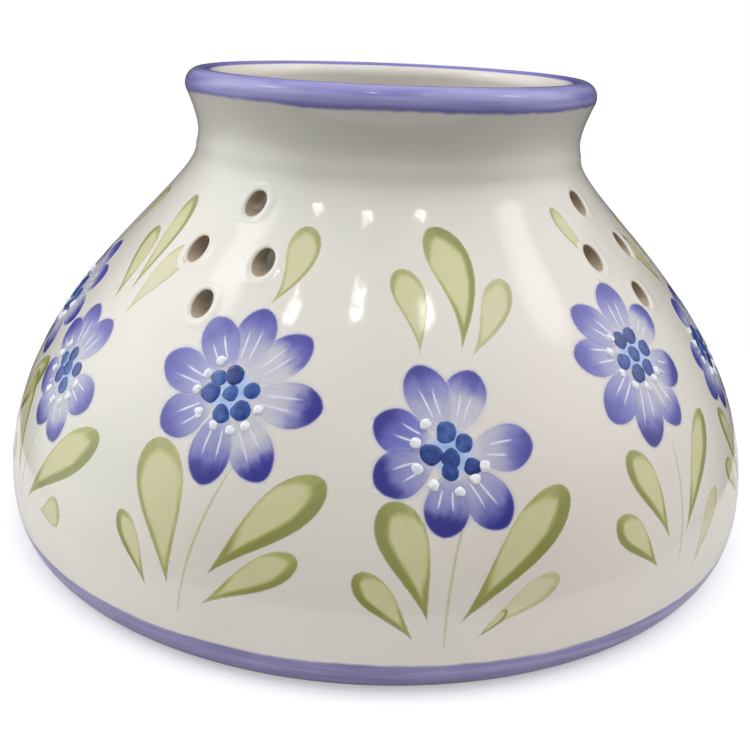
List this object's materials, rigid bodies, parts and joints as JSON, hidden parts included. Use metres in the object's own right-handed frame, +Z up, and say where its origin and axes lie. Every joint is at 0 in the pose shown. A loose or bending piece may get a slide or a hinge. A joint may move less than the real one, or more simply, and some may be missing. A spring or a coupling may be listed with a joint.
{
  "type": "flower frog",
  "caption": "Squat bellied ceramic pot with a narrow rolled mouth and small stem holes pierced in diamonds round its shoulder, painted with violet flowers.",
  "frame": {"origin": "centre of the foot, on the surface that the pot stands on", "axes": "+Z up along the pot's axis of turning, -Y towards the front, +X to the right"},
  "size_m": [0.155, 0.155, 0.09],
  "materials": {
    "cream_glaze": "high gloss clear glaze over a cream body, with fine specks",
    "lavender_glaze": "high gloss lavender band, brushed on by hand",
    "foot_glaze": "gloss lavender band, worn pale along its upper edge",
    "violet_petal_paint": "brushed violet under clear glaze, darker at the petal tips",
    "cobalt_centre_paint": "pooled cobalt dabs under clear glaze",
    "white_enamel": "raised white enamel dots and fine lines",
    "sage_leaf_paint": "brushed sage green under clear glaze, darker along one edge"
  },
  "bodies": {
    "root": {"body_shell": "cream_glaze", "rim_roll": "lavender_glaze", "foot_band": "foot_glaze", "floor_disc": "cream_glaze"}
  },
  "joints": []
}
